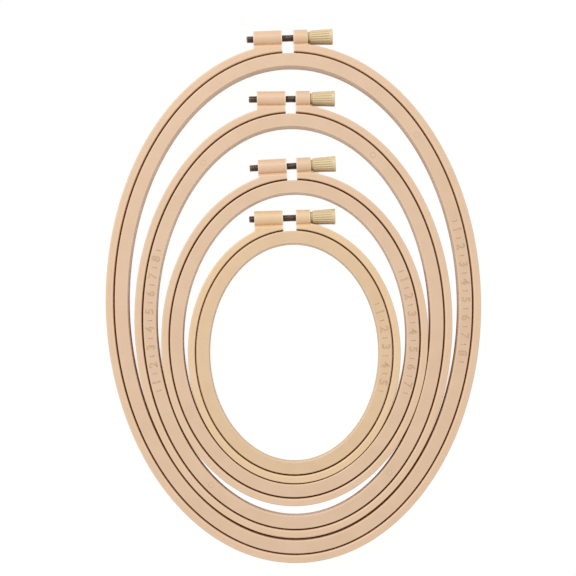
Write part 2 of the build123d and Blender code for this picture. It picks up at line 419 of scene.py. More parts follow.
def plastic(name, colour, patch, edge, painted_shade_colour, gloss=0.42, grain_depth=0.02 * MM,
            painted_highlight_share=0.8, painted_shade_share=0.9):
    """A moulded plastic with cloud, grain, a painted edge highlight, painted shade in hollows and a faint
    texture.
    """
    material, tree, shader = new_material(name)
    cloud = use_effect(tree, cloud_effect, {"Colour": colour, "Patch colour": patch, "Gloss": gloss})
    with_painted_light = lay_painted_light(tree, cloud, edge, painted_shade_colour, painted_highlight_share, painted_shade_share)
    grain = add_node(tree, "ShaderNodeBump",
                     {"Height": cloud["Height"], "Strength": 0.5, "Distance": grain_depth})
    tree.links.new(with_painted_light["Colour"], shader.inputs["Base Color"])
    tree.links.new(with_painted_light["Roughness"], shader.inputs["Roughness"])
    tree.links.new(with_painted_light["Shine"], shader.inputs["Specular IOR Level"])
    tree.links.new(grain.outputs["Normal"], shader.inputs["Normal"])
    return material


# In each plastic below, the edge colour is a painted highlight on edges, and the darker colour after it is
# painted shade in gaps and hollows.
hoop_plastic = plastic(
    "hoop plastic", (0.82, 0.585, 0.405, 1), (0.78, 0.545, 0.37, 1),
    edge=(1.0, 0.84, 0.64, 1), painted_shade_colour=(0.68, 0.38, 0.17, 1),
)
warm_plastic = plastic(
    "warm hoop plastic", (0.83, 0.595, 0.375, 1), (0.79, 0.555, 0.34, 1),
    edge=(1.0, 0.85, 0.60, 1), painted_shade_colour=(0.68, 0.39, 0.16, 1),
)
# The marks get a darker copy of the hoop plastic: the darker colour is painted shade that sets the raised
# marks apart.
mark_plastic = plastic(
    "hoop plastic of the marks", (0.71, 0.48, 0.315, 1), (0.67, 0.45, 0.29, 1),
    edge=(0.90, 0.70, 0.50, 1), painted_shade_colour=(0.50, 0.26, 0.11, 1), grain_depth=0.01 * MM, painted_highlight_share=0.3,
)
# The outer rings get a lighter copy of the hoop plastic, with a stronger painted highlight and less painted
# shade; the lighter colour is painted light too.
outer_plastic = plastic(
    "outer hoop plastic", (0.86, 0.61, 0.41, 1), (0.83, 0.58, 0.385, 1),
    edge=(1.0, 0.87, 0.66, 1), painted_shade_colour=(0.68, 0.38, 0.17, 1), painted_highlight_share=1.0, painted_shade_share=0.45,
)
outer_warm_plastic = plastic(
    "outer warm hoop plastic", (0.90, 0.65, 0.40, 1), (0.86, 0.61, 0.365, 1),
    edge=(1.0, 0.88, 0.62, 1), painted_shade_colour=(0.68, 0.39, 0.16, 1), painted_highlight_share=1.0, painted_shade_share=0.45,
)
knob_plastic = plastic(
    "knob plastic", (0.82, 0.66, 0.40, 1), (0.78, 0.61, 0.35, 1),
    edge=(0.92, 0.78, 0.50, 1), painted_shade_colour=(0.36, 0.23, 0.09, 1),
    gloss=0.36, grain_depth=0.01 * MM, painted_highlight_share=0.6, painted_shade_share=0.7,
)

# %% Metals
def metal(name, colour, painted_highlight_colour, painted_shade_colour, roughness, painted_highlight_share, painted_shade_share):
    """A metal whose thread crests and rims are painted brighter as a painted highlight, and whose hollows
    are painted darker as painted shade.
    """
    material, tree, shader = new_material(name)
    cloud = use_effect(tree, cloud_effect, {
        "Colour": colour, "Patch colour": colour, "Gloss": roughness,
        "Patch size": 400.0, "Grain size": 5000.0,
    })
    with_painted_light = lay_painted_light(tree, cloud, painted_highlight_colour, painted_shade_colour, painted_highlight_share, painted_shade_share)
    shader.inputs["Metallic"].default_value = 1.0
    tree.links.new(with_painted_light["Colour"], shader.inputs["Base Color"])
    tree.links.new(with_painted_light["Roughness"], shader.inputs["Roughness"])
    return material


blackened_steel = metal(
    "blackened steel", (0.23, 0.17, 0.135, 1), (0.42, 0.35, 0.29, 1), (0.03, 0.02, 0.014, 1),
    roughness=0.38, painted_highlight_share=0.5, painted_shade_share=0.6,
)
insert_brass = metal(
    "insert brass", (0.72, 0.53, 0.25, 1), (0.85, 0.68, 0.40, 1), (0.20, 0.13, 0.05, 1),
    roughness=0.3, painted_highlight_share=0.4, painted_shade_share=0.5,
)
inner_material = {hoop.name: hoop_plastic for hoop in hoops}
inner_material["mini"] = warm_plastic
outer_material = {hoop.name: outer_plastic for hoop in hoops}
outer_material["mini"] = outer_warm_plastic
ring_slot = {hoop.name: "hoop_plastic" for hoop in hoops}
ring_slot["mini"] = "hoop_plastic_warm"
print("materials:", len(bpy.data.materials))

# %% [markdown]
# ## The rings
# Every ring is the same section carried round an oval, so one Geometry Nodes tree makes all eight.
# It sweeps a rounded rectangle round a circle and then places each point by formula: the oval's
# semi-axes shrink from the outside to the inside of the wall, so that both sides are true ovals.

# %% A tree for oval rings
EDGE_STEPS = 5


def oval_ring_tree():
    tree, given = new_geometry_tree("oval ring", {
        "Half width": "Float", "Half height": "Float", "Side wall": "Float", "End wall": "Float",
        "Depth": "Float", "Edge radius": "Float", "Around": "Int", "First angle": "Float",
        "Centre": "Vector", "Lean": "Float", "Material": "Material",
    })
    circle = add_node(tree, "GeometryNodeCurvePrimitiveCircle",
                      {"Resolution": given["Around"], "Radius": 1.0})
    index = add_node(tree, "GeometryNodeInputIndex").outputs[0]
    turned = add_node(tree, "GeometryNodeCaptureAttribute", {"Geometry": circle.outputs[0]})
    turned.capture_items.new("FLOAT", "Step")
    tree.links.new(index, turned.inputs["Step"])

    section = add_node(tree, "GeometryNodeCurvePrimitiveQuadrilateral",
                       {"Width": given["Side wall"], "Height": given["Depth"]})
    rounded = add_node(tree, "GeometryNodeFilletCurve", {
        "Curve": section.outputs[0], "Count": EDGE_STEPS, "Radius": given["Edge radius"],
        "Limit Radius": True}, mode="POLY")
    where = add_node(tree, "GeometryNodeInputPosition").outputs[0]
    kept = add_node(tree, "GeometryNodeCaptureAttribute", {"Geometry": rounded.outputs[0]})
    kept.capture_items.new("VECTOR", "Place")
    tree.links.new(where, kept.inputs["Place"])
    swept = add_node(tree, "GeometryNodeCurveToMesh",
                     {"Curve": turned.outputs[0], "Profile Curve": kept.outputs[0]})

    place = add_node(tree, "ShaderNodeSeparateXYZ", {"Vector": kept.outputs["Place"]}).outputs
    angle = calculate(tree, "DIVIDE", turned.outputs["Step"], given["Around"])
    angle = calculate(tree, "MULTIPLY_ADD", angle, 2 * pi, given["First angle"])
    inward = calculate(tree, "SUBTRACT", 0.5, calculate(tree, "DIVIDE", place["X"], given["Side wall"]))
    side_inset = calculate(tree, "MULTIPLY", inward, given["Side wall"])
    end_inset = calculate(tree, "MULTIPLY", inward, given["End wall"])
    half_x = calculate(tree, "SUBTRACT", given["Half width"], side_inset)
    half_y = calculate(tree, "SUBTRACT", given["Half height"], end_inset)
    x = calculate(tree, "MULTIPLY", half_x, calculate(tree, "COSINE", angle))
    y = calculate(tree, "MULTIPLY", half_y, calculate(tree, "SINE", angle))
    z = calculate(tree, "MULTIPLY_ADD", given["Depth"], 0.5, place["Y"])
    position = add_node(tree, "ShaderNodeCombineXYZ", {"X": x, "Y": y, "Z": z}).outputs[0]
    shaped = add_node(tree, "GeometryNodeSetPosition", {"Geometry": swept.outputs[0], "Position": position})
    turn = add_node(tree, "ShaderNodeCombineXYZ", {"Z": given["Lean"]}).outputs[0]
    placed = add_node(tree, "GeometryNodeTransform", {
        "Geometry": shaped.outputs[0], "Translation": given["Centre"], "Rotation": turn})
    end_tree(tree, placed.outputs[0], given["Material"])
    return tree


ring_tree = oval_ring_tree()


def outward(piece):
    """Turns all faces outwards, on a closed piece."""
    shape = bmesh.new()
    shape.from_mesh(piece.data)
    bmesh.ops.recalc_face_normals(shape, faces=shape.faces)
    shape.to_mesh(piece.data)
    shape.free()
    return piece


def make_ring(name, hoop, half_x, half_y, side_wall, end_wall, around, first_angle=0.0):
    piece = new_object(name)
    grow(piece, ring_tree, half_width=half_x, half_height=half_y, side_wall=side_wall, end_wall=end_wall,
         depth=RING_DEPTH, edge_radius=EDGE_RADIUS, around=around, first_angle=first_angle,
         centre=(hoop.centre.x, hoop.centre.y, 0), lean=hoop.lean, material=inner_material[hoop.name])
    return outward(piece)


# %% The inner rings
RING_SECTIONS = 360
RING_SHARP_ANGLE = radians(40)

for hoop in hoops:
    ring = make_ring(f"{hoop.name}_inner_ring_finished", hoop, hoop.inner_x, hoop.inner_y,
                     hoop.face, hoop.face, RING_SECTIONS)
    finish_shading(ring, RING_SHARP_ANGLE)
    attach(ring, f"{hoop.name}_inner")
    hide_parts(f"{hoop.name}_inner_ring")
    print(ring.name, len(ring.data.polygons), "faces")

# %% [markdown]
# ## Raised marks on the faces
# The inner rings carry fine raised marks along one side. Here they are a plain ruler: a stroke every
# ten millimetres with a numeral between each two, which name nothing. A second tree sets out the
# strokes round the oval, and the numerals are thin outlines placed along the same path.

# %% A tree for the strokes
MARK_STEP = 10 * MM
STROKE_LENGTH = 2.6 * MM
STROKE_WIDTH = 0.45 * MM
MARK_HEIGHT = 0.25 * MM
NUMERAL_HEIGHT = 4.6 * MM
NUMERAL_STROKE = 0.22 * MM
FIGURE_SHARE = 0.7


def stroke_tree():
    tree, given = new_geometry_tree("ruler strokes", {
        "Half width": "Float", "Half height": "Float", "First angle": "Float", "Angle step": "Float",
        "Count": "Int", "Centre": "Vector", "Lean": "Float", "Material": "Material",
    })
    line = add_node(tree, "GeometryNodeMeshLine", {"Count": given["Count"]})
    index = add_node(tree, "GeometryNodeInputIndex").outputs[0]
    angle = calculate(tree, "MULTIPLY_ADD", index, given["Angle step"], given["First angle"])
    c, s = calculate(tree, "COSINE", angle), calculate(tree, "SINE", angle)
    x = calculate(tree, "MULTIPLY", given["Half width"], c)
    y = calculate(tree, "MULTIPLY", given["Half height"], s)
    spot = add_node(tree, "ShaderNodeCombineXYZ", {"X": x, "Y": y, "Z": RING_DEPTH}).outputs[0]
    points = add_node(tree, "GeometryNodeSetPosition", {"Geometry": line.outputs[0], "Position": spot})
    normal = calculate(tree, "ARCTAN2", calculate(tree, "DIVIDE", s, given["Half height"]),
                       calculate(tree, "DIVIDE", c, given["Half width"]))
    turn = add_node(tree, "ShaderNodeCombineXYZ", {"Z": normal}).outputs[0]
    size = (STROKE_LENGTH, STROKE_WIDTH, 2 * MARK_HEIGHT)
    stroke = add_node(tree, "GeometryNodeMeshCube", {"Size": size})
    set_out = add_node(tree, "GeometryNodeInstanceOnPoints",
                       {"Points": points.outputs[0], "Instance": stroke.outputs[0], "Rotation": turn})
    lean = add_node(tree, "ShaderNodeCombineXYZ", {"Z": given["Lean"]}).outputs[0]
    placed = add_node(tree, "GeometryNodeTransform", {
        "Geometry": set_out.outputs[0], "Translation": given["Centre"], "Rotation": lean})
    end_tree(tree, placed.outputs[0], given["Material"])
    return tree


strokes_tree = stroke_tree()


# %% Numerals as thin raised outlines
def outline_text(characters, height):
    """The text as a thin round line along its outlines, centred on the origin, as a plain mesh.

    A figure stands FIGURE_SHARE as high as the font's size."""
    curve = bpy.data.curves.new("numeral", "FONT")
    curve.body = characters
    curve.size = height / FIGURE_SHARE
    curve.align_x = "CENTER"
    curve.align_y = "CENTER"
    curve.fill_mode = "NONE"
    curve.bevel_depth = NUMERAL_STROKE
    curve.bevel_resolution = 1
    curve.resolution_u = 3
    lettering = bpy.data.objects.new("numeral", curve)
    bpy.context.scene.collection.objects.link(lettering)
    bpy.context.view_layer.update()
    evaluated = lettering.evaluated_get(bpy.context.evaluated_depsgraph_get())
    mesh = bpy.data.meshes.new_from_object(evaluated)
    bpy.data.objects.remove(lettering)
    bpy.data.curves.remove(curve)
    return mesh


def join_meshes(name, meshes, material):
    """One object from placed meshes."""
    shape = bmesh.new()
    for mesh in meshes:
        shape.from_mesh(mesh)
        bpy.data.meshes.remove(mesh)
    joined = bpy.data.meshes.new(name)
    shape.to_mesh(joined)
    shape.free()
    joined.materials.append(material)
    joined.shade_smooth()
    return new_object(name, joined)


def face_middle(hoop):
    """Semi-axes of the oval along the middle of the inner ring's face."""
    return hoop.inner_x - hoop.face / 2, hoop.inner_y - hoop.face / 2


def on_face(hoop, angle):
    """A place on the middle of the inner ring's face, turned so that Y points outwards."""
    half_x, half_y = face_middle(hoop)
    spot = Vector((half_x * cos(angle), half_y * sin(angle), RING_DEPTH))
    outwards = atan2(sin(angle) / half_y, cos(angle) / half_x)
    base = Matrix.Translation((hoop.centre.x, hoop.centre.y, 0)) @ Matrix.Rotation(hoop.lean, 4, "Z")
    return base @ Matrix.Translation(spot) @ Matrix.Rotation(outwards - pi / 2, 4, "Z")


# %% Set out the ruler on each face
# For each hoop: the side, the height of the first stroke above the origin in millimetres, and how
# many numerals there are. They count downwards on a right side and upwards on a left one.
RULERS = {
    "large": ("right", 40, 8),
    "medium": ("left", -52, 8),
    "small": ("right", 14, 7),
    "mini": ("right", -5, 5),
}
for hoop in hoops:
    side, start_mm, count = RULERS[hoop.name]
    half_x, half_y = face_middle(hoop)
    first_angle = asin((start_mm * MM - hoop.centre.y) / half_y)
    if side == "left":
        first_angle = pi - first_angle
    angle_step = -MARK_STEP / half_y
    strokes = new_object(f"{hoop.name}_ruler_strokes")
    grow(strokes, strokes_tree, half_width=half_x, half_height=half_y, first_angle=first_angle,
         angle_step=angle_step, count=count + 1, centre=(hoop.centre.x, hoop.centre.y, 0),
         lean=hoop.lean, material=mark_plastic)
    numerals = []
    for number in range(count):
        mesh = outline_text(str(number + 1), NUMERAL_HEIGHT)
        mesh.transform(on_face(hoop, first_angle + (number + 0.5) * angle_step))
        numerals.append(mesh)
    scale = join_meshes(f"{hoop.name}_ruler_numerals", numerals, mark_plastic)
    for piece in (strokes, scale):
        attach(piece, f"{hoop.name}_inner")
    print(scale.name, len(scale.data.polygons), "faces")

# %% Ejector marks, where pins pushed the moulding out
# Where they are on each ring, in degrees round its oval.
EJECTOR_MARKS = {"medium": (127.4, 55.0, -126.3, -49.5), "large": (43.0,)}
EJECTOR_RADIUS = 1.5 * MM
EJECTOR_LINE = 0.14 * MM
EJECTOR_SIDES = 24
EJECTOR_LINE_SIDES = 6


def ejector_mark(place):
    """A thin raised circle."""
    shape = bmesh.new()
    rows = []
    for i in range(EJECTOR_SIDES):
        a = 2 * pi * i / EJECTOR_SIDES
        line = []
        for j in range(EJECTOR_LINE_SIDES):
            b = 2 * pi * j / EJECTOR_LINE_SIDES
            reach = EJECTOR_RADIUS + EJECTOR_LINE * cos(b)
            line.append(shape.verts.new((reach * cos(a), reach * sin(a), EJECTOR_LINE * sin(b))))
        rows.append(line)
    for row, after in zip(rows, rows[1:] + rows[:1]):
        for j in range(EJECTOR_LINE_SIDES):
            k = (j + 1) % EJECTOR_LINE_SIDES
            shape.faces.new((row[j], after[j], after[k], row[k]))
    bmesh.ops.recalc_face_normals(shape, faces=shape.faces)
    mesh = bpy.data.meshes.new("ejector mark")
    shape.to_mesh(mesh)
    shape.free()
    mesh.transform(place)
    return mesh


for hoop in hoops:
    if hoop.name in EJECTOR_MARKS:
        rings = [ejector_mark(on_face(hoop, radians(angle))) for angle in EJECTOR_MARKS[hoop.name]]
        marks = join_meshes(f"{hoop.name}_ejector_marks", rings, mark_plastic)
        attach(marks, f"{hoop.name}_inner")

# %% [markdown]
# ## The outer rings
# On the real hoop the outer ring and its two lugs are one moulding, split at the top. A lug is a barrel
# round the screw, standing on a flat web that is flush with the ring. The lug's section is drawn once,
# carried along the screw axis so that its foot follows the oval, and joined to the ring by an exact
# boolean. Then the slot is cut, its rims are rounded, and the screw's hole is bored.

# %% The lug's shape
BARREL_STEPS = 36
RIM_STEPS = 4
BODY_STEPS = 8
SHOULDER_STEPS = 4
SHOULDER_RADIUS = 0.4 * MM
CUT_SPARE = 1.0 * MM
# An exact boolean is clean only where surfaces cross. So the shoulder's cut goes a little deeper
# than the lug that fills it, the web stands a hair proud, and the foot ends inside the wall.
CUT_DEEPER = 0.06 * MM
WEB_PROUD = 0.004 * MM
FOOT_SHARE = 0.8


def loft(name, rows):
    """A closed solid through rows of points, each row one outline of the same count."""
    shape = bmesh.new()
    rows = [[shape.verts.new(point) for point in row] for row in rows]
    count = len(rows[0])
    for row, after in zip(rows, rows[1:]):
        for i in range(count):
            shape.faces.new((row[i], row[(i + 1) % count], after[(i + 1) % count], after[i]))
    shape.faces.new(rows[0])
    shape.faces.new(rows[-1])
    bmesh.ops.recalc_face_normals(shape, faces=shape.faces)
    mesh = bpy.data.meshes.new(name)
    shape.to_mesh(mesh)
    shape.free()
    return mesh


def shoulder_corner(half_depth):
    """The rounded corner between the web's flat face and its slope, from the slope to the face."""
    slope = Vector((SHOULDER_DROP - NECK_DROP, half_depth - NECK_DEPTH / 2)).normalized()
    corner = Vector((-SHOULDER_DROP, half_depth))
    before = corner + Vector((slope.x, -slope.y)) * SHOULDER_RADIUS
    after = corner - Vector((SHOULDER_RADIUS, 0))
    points = []
    for step in range(SHOULDER_STEPS + 1):
        t = step / SHOULDER_STEPS
        points.append(tuple(before * (1 - t) ** 2 + corner * (2 * t * (1 - t)) + after * t**2))
    return points


def lug_section(hoop, x, shrink):
    """The lug's outline square to the screw axis, as (y, z) points, drawn in by shrink at its rim."""
    radius = LUG_RADIUS - shrink
    crease = pi - acos(NECK_DROP / LUG_RADIUS)
    angles = [crease - 2 * crease * i / BARREL_STEPS for i in range(BARREL_STEPS + 1)]
    barrel = [(radius * cos(a), radius * sin(a)) for a in angles]
    neck = NECK_DEPTH / 2 - shrink
    half_depth = RING_DEPTH / 2 + WEB_PROUD - shrink
    front = [(-NECK_DROP, neck)] + shoulder_corner(half_depth)
    foot = -hoop.wall_below(x, FOOT_SHARE * hoop.side_wall, FOOT_SHARE * hoop.end_wall)
    front.append((foot, half_depth))
    back = [(y, -z) for y, z in front]
    return barrel + back + front[::-1]


def lug_stations(outer_end, inner_end):
    """Distances along the lug with how far its section is drawn in there, from its free end."""
    direction = 1 if inner_end > outer_end else -1
    rim = []
    for step in range(RIM_STEPS + 1):
        angle = pi / 2 * step / RIM_STEPS
        rim.append((outer_end + direction * RIM_RADIUS * (1 - cos(angle)), RIM_RADIUS * (1 - sin(angle))))
    start = rim[-1][0]
    body = [(start + (inner_end - start) * (step + 1) / BODY_STEPS, 0) for step in range(BODY_STEPS)]
    return rim + body


def make_lug(hoop, outer_end, inner_end):
    """A lug in its place, from its free end to an inner end that lies in the slot."""
    stations = lug_stations(outer_end, inner_end)
    rows = [[(x, y, z) for y, z in lug_section(hoop, x, shrink)] for x, shrink in stations]
    mesh = loft("lug", rows)
    mesh.transform(hoop.clasp())
    return new_object("lug", mesh)


def shoulder_cut(hoop, side):
    """What the ring's rim loses beside the barrels, in front (side 1) or behind (side -1).

    It goes a little deeper than the lug's own slope and rounding, which then cover the cut."""
    face, neck = RING_DEPTH / 2 - CUT_DEEPER, NECK_DEPTH / 2 - CUT_DEEPER
    low = -SHOULDER_DROP - SHOULDER_RADIUS - CUT_DEEPER
    section = [(low, face), (-SHOULDER_DROP, face - SHOULDER_RADIUS), (-NECK_DROP - CUT_DEEPER, neck),
               (LUG_RADIUS, neck), (LUG_RADIUS, face + CUT_SPARE), (low, face + CUT_SPARE)]
    ends = (-hoop.slot / 2 - LONG_LUG, hoop.slot / 2 + SHORT_LUG)
    mesh = loft("shoulder", [[(x, y, side * z) for y, z in section] for x in ends])
    mesh.transform(hoop.clasp())
    return new_object("shoulder", mesh)


def level_faces(mesh):
    """Brings points within a micrometre of the front or back face exactly onto it."""
    for vertex in mesh.vertices:
        for level in (0.0, RING_DEPTH):
            if abs(vertex.co.z - level) < MICROMETRE:
                vertex.co.z = level


# %% The slot and the bores
SLOT_RIM = 0.25 * MM
SLOT_RIM_SEGMENTS = 3
NEAR_CLASP = 50 * MM
BORE_RIM = 0.3 * MM
BORE_RADIUS = 2.3 * MM
SHORT_BORE_RADIUS = 2.2 * MM
BORE_SIDES = 48
INSERT_SEAT_RADIUS = 2.92 * MM
INSERT_SEAT_LENGTH = 10.32 * MM


def make_box(name, low, high, place):
    mesh = bpy.data.meshes.new(name)
    shape = bmesh.new()
    bmesh.ops.create_cube(shape, size=1)
    middle = (Vector(low) + Vector(high)) / 2
    span = Vector(high) - Vector(low)
    bmesh.ops.transform(shape, matrix=place @ Matrix.Translation(middle) @ Matrix.Diagonal((*span, 1)),
                        verts=shape.verts)
    shape.to_mesh(mesh)
    shape.free()
    return new_object(name, mesh)


def round_slot_rims(piece, hoop):
    """Rounds the edges round the two flat faces that the slot's cut left."""
    to_clasp = hoop.clasp().inverted()
    shape = bmesh.new()
    shape.from_mesh(piece.data)

    def on_cut(face):
        along = (to_clasp.to_3x3() @ face.normal).x
        middle = to_clasp @ face.calc_center_median()
        at_slot = abs(abs(middle.x) - hoop.slot / 2) < 10 * MICROMETRE and abs(middle.y) < NEAR_CLASP
        return at_slot and abs(along) > 0.999

    def on_rim(edge):
        return len(edge.link_faces) == 2 and sum(face in cut_faces for face in edge.link_faces) == 1

    cut_faces = [face for face in shape.faces if on_cut(face)]
    rims = [edge for edge in {edge for face in cut_faces for edge in face.edges} if on_rim(edge)]
    bmesh.ops.bevel(shape, geom=rims, offset=SLOT_RIM, segments=SLOT_RIM_SEGMENTS, profile=0.5,
                    affect="EDGES", clamp_overlap=True)
    shape.to_mesh(piece.data)
    shape.free()
    return len(cut_faces), len(rims)


def plain_bore(start, end, radius):
    """A drill's outline with a flare at both mouths."""
    flare = radius + BORE_RIM + CUT_SPARE
    return [
        (start - CUT_SPARE, 0), (start - CUT_SPARE, flare), (start + BORE_RIM, radius),
        (end - BORE_RIM, radius), (end + CUT_SPARE, flare), (end + CUT_SPARE, 0),
    ]


def stepped_bore(start, end):
    """The long lug's drill: a flare and the screw's clearance, then the wider seat of the insert."""
    seat_start = end - INSERT_SEAT_LENGTH
    return [
        (start - CUT_SPARE, 0), (start - CUT_SPARE, BORE_RADIUS + BORE_RIM + CUT_SPARE),
        (start + BORE_RIM, BORE_RADIUS), (seat_start, BORE_RADIUS), (seat_start, INSERT_SEAT_RADIUS),
        (end + CUT_SPARE, INSERT_SEAT_RADIUS), (end + CUT_SPARE, 0),
    ]


def drill(piece, hoop, outline):
    tool = lathe("drill", outline, BORE_SIDES)
    tool.data.transform(hoop.clasp())
    return cut_or_join(piece, tool, "DIFFERENCE")


# %% Put the outer rings together
def slot_pitches(hoop):
    """How many sections go round, so that a whole number of them fits the slot at the top."""
    half_x, _ = hoop.outside()
    step = 2 * pi * half_x / RING_SECTIONS
    in_slot = max(3, round(hoop.slot / step))
    return round(2 * pi * half_x / (hoop.slot / in_slot)), in_slot


for hoop in hoops:
    half_x, half_y = hoop.outside()
    left, right = -hoop.slot / 2, hoop.slot / 2
    clasp = hoop.clasp()
    around, in_slot = slot_pitches(hoop)
    to_hoop = hoop.clasp_to_oval()
    at_top = to_hoop @ Vector((0, -hoop.wall_below(0, 0, 0), 0))
    top_angle = atan2(at_top.y / half_y, at_top.x / half_x)
    first_angle = top_angle + (pi / around if in_slot % 2 == 0 else 0)
    ring = make_ring(f"{hoop.name}_outer_ring_finished", hoop, half_x, half_y,
                     hoop.side_wall, hoop.end_wall, around, first_angle)
    level_faces(ring.data)
    cut_or_join(ring, shoulder_cut(hoop, 1), "DIFFERENCE")
    cut_or_join(ring, shoulder_cut(hoop, -1), "DIFFERENCE")
    cut_or_join(ring, make_lug(hoop, left - LONG_LUG, left / 4), "UNION")
    cut_or_join(ring, make_lug(hoop, right + SHORT_LUG, right / 4), "UNION")
    below = hoop.wall_below(0, 0, 0) + hoop.end_wall + CUT_SPARE
    slot_box = make_box("slot", (left, -below, -RING_DEPTH), (right, 2 * LUG_RADIUS, RING_DEPTH), clasp)
    cut_or_join(ring, slot_box, "DIFFERENCE")
    rims = round_slot_rims(ring, hoop)
    drill(ring, hoop, stepped_bore(left - LONG_LUG, left))
    drill(ring, hoop, plain_bore(right, right + SHORT_LUG, SHORT_BORE_RADIUS))
    finish_shading(ring, RING_SHARP_ANGLE)
    # One material for the ring and for all that was joined to it.
    ring.data.materials.clear()
    ring.data.materials.append(outer_material[hoop.name])
    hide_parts(f"{hoop.name}_outer_ring_left", f"{hoop.name}_outer_ring_right")
    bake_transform(ring)
    print(ring.name, "sections", around, "cut faces and rims", rims, len(ring.data.polygons), "faces")

# %% [markdown]
# ## The clamp screws
# A thread is a rule: the radius rises and falls with the distance along the axis less the turn round
# it. So a plain rod is turned first, and a Geometry Nodes tree then presses its points in.

# %% A tree for the thread
def thread_tree():
    tree, given = new_geometry_tree("screw thread", {
        "Geometry": "Geometry", "Pitch": "Float", "Thread depth": "Float", "Thread end": "Float",
        "Tip": "Float", "Material": "Material",
    })
    where = add_node(tree, "GeometryNodeInputPosition").outputs[0]
    at = add_node(tree, "ShaderNodeSeparateXYZ", {"Vector": where}).outputs
    turn = calculate(tree, "DIVIDE", calculate(tree, "ARCTAN2", at["Z"], at["Y"]), 2 * pi)
    along = calculate(tree, "DIVIDE", at["X"], given["Pitch"])
    phase = calculate(tree, "FRACT", calculate(tree, "SUBTRACT", along, turn))
    wave = calculate(tree, "ABSOLUTE", calculate(tree, "MULTIPLY_ADD", phase, 2.0, -1.0))
    before_end = calculate(tree, "LESS_THAN", at["X"], given["Thread end"])
    after_tip = calculate(tree, "GREATER_THAN", at["X"], given["Tip"])
    cut = calculate(tree, "MULTIPLY", wave, calculate(tree, "MULTIPLY", before_end, after_tip))
    cut = calculate(tree, "MULTIPLY", cut, calculate(tree, "MULTIPLY", given["Thread depth"], -1.0))
    end_tree(tree, move_outwards(tree, given["Geometry"], at, cut), given["Material"])
    return tree


screw_tree = thread_tree()
THREAD_DEPTH = 0.38 * MM
TIP_CHAMFER = 0.45 * MM
SCREW_SIDES = 24
STEPS_IN_PITCH = 8

for hoop in hoops:
    face = hoop.knob_face()
    tip = face - SCREW_REACH
    steps = round((SCREW_REACH - TIP_CHAMFER) / THREAD_PITCH * STEPS_IN_PITCH)
    outline = [(tip, 0), (tip, SCREW_RADIUS - TIP_CHAMFER)]
    thread_start = tip + TIP_CHAMFER
    outline += [(thread_start + (face - thread_start) * i / steps, SCREW_RADIUS) for i in range(steps + 1)]
    outline += [(face + SCREW_GRIP, SCREW_RADIUS), (face + SCREW_GRIP, 0)]
    screw = lathe(f"{hoop.name}_clamp_screw_threaded", outline, SCREW_SIDES)
    grow(screw, screw_tree, pitch=THREAD_PITCH, thread_depth=THREAD_DEPTH, thread_end=face,
         tip=thread_start - MICROMETRE, material=blackened_steel)
    screw.data.transform(hoop.clasp())
    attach(screw, f"{hoop.name}_screw")
    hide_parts(f"{hoop.name}_clamp_screw")
    print(screw.name, len(screw.data.polygons), "faces")

# %% [markdown]
# ## The knobs
# A knob is a flaring grip. At the lug it has a small step and a smooth collar, and a smooth rim at its
# end. Its ribs are again a rule, this time round the axis, so another tree presses the grooves into a
# turned shape.

# %% A tree for the ribs
def rib_tree():
    tree, given = new_geometry_tree("knob ribs", {
        "Geometry": "Geometry", "Ribs": "Float", "Groove depth": "Float", "Groove start": "Float",
        "Groove end": "Float", "Run out": "Float", "Material": "Material",
    })
    where = add_node(tree, "GeometryNodeInputPosition").outputs[0]
    at = add_node(tree, "ShaderNodeSeparateXYZ", {"Vector": where}).outputs
    turn = calculate(tree, "ARCTAN2", at["Z"], at["Y"])
    wave = calculate(tree, "COSINE", calculate(tree, "MULTIPLY", turn, given["Ribs"]))
    groove = add_node(tree, "ShaderNodeMapRange", {
        "Value": wave, "From Min": 0.1, "From Max": 0.95}, interpolation_type="SMOOTHSTEP").outputs[0]
    after = add_node(tree, "ShaderNodeMapRange", {
        "Value": at["X"], "From Min": given["Groove start"],
        "From Max": calculate(tree, "ADD", given["Groove start"], given["Run out"])}).outputs[0]
    before = add_node(tree, "ShaderNodeMapRange", {
        "Value": at["X"], "From Min": given["Groove end"],
        "From Max": calculate(tree, "SUBTRACT", given["Groove end"], given["Run out"])}).outputs[0]
    cut = calculate(tree, "MULTIPLY", groove, calculate(tree, "MULTIPLY", after, before))
    cut = calculate(tree, "MULTIPLY", cut, calculate(tree, "MULTIPLY", given["Groove depth"], -1.0))
    end_tree(tree, move_outwards(tree, given["Geometry"], at, cut), given["Material"])
    return tree


knob_tree = rib_tree()
RIB_COUNT = 18
SIDES_IN_RIB = 10
GROOVE_DEPTH = 0.34 * MM
GROOVE_RUN_OUT = 0.3 * MM
COLLAR = 0.9 * MM
RIM = 1.7 * MM
KNOB_EDGE = 0.2 * MM
KNOB_STEP = 0.6 * MM
KNOB_SHARP_ANGLE = radians(50)

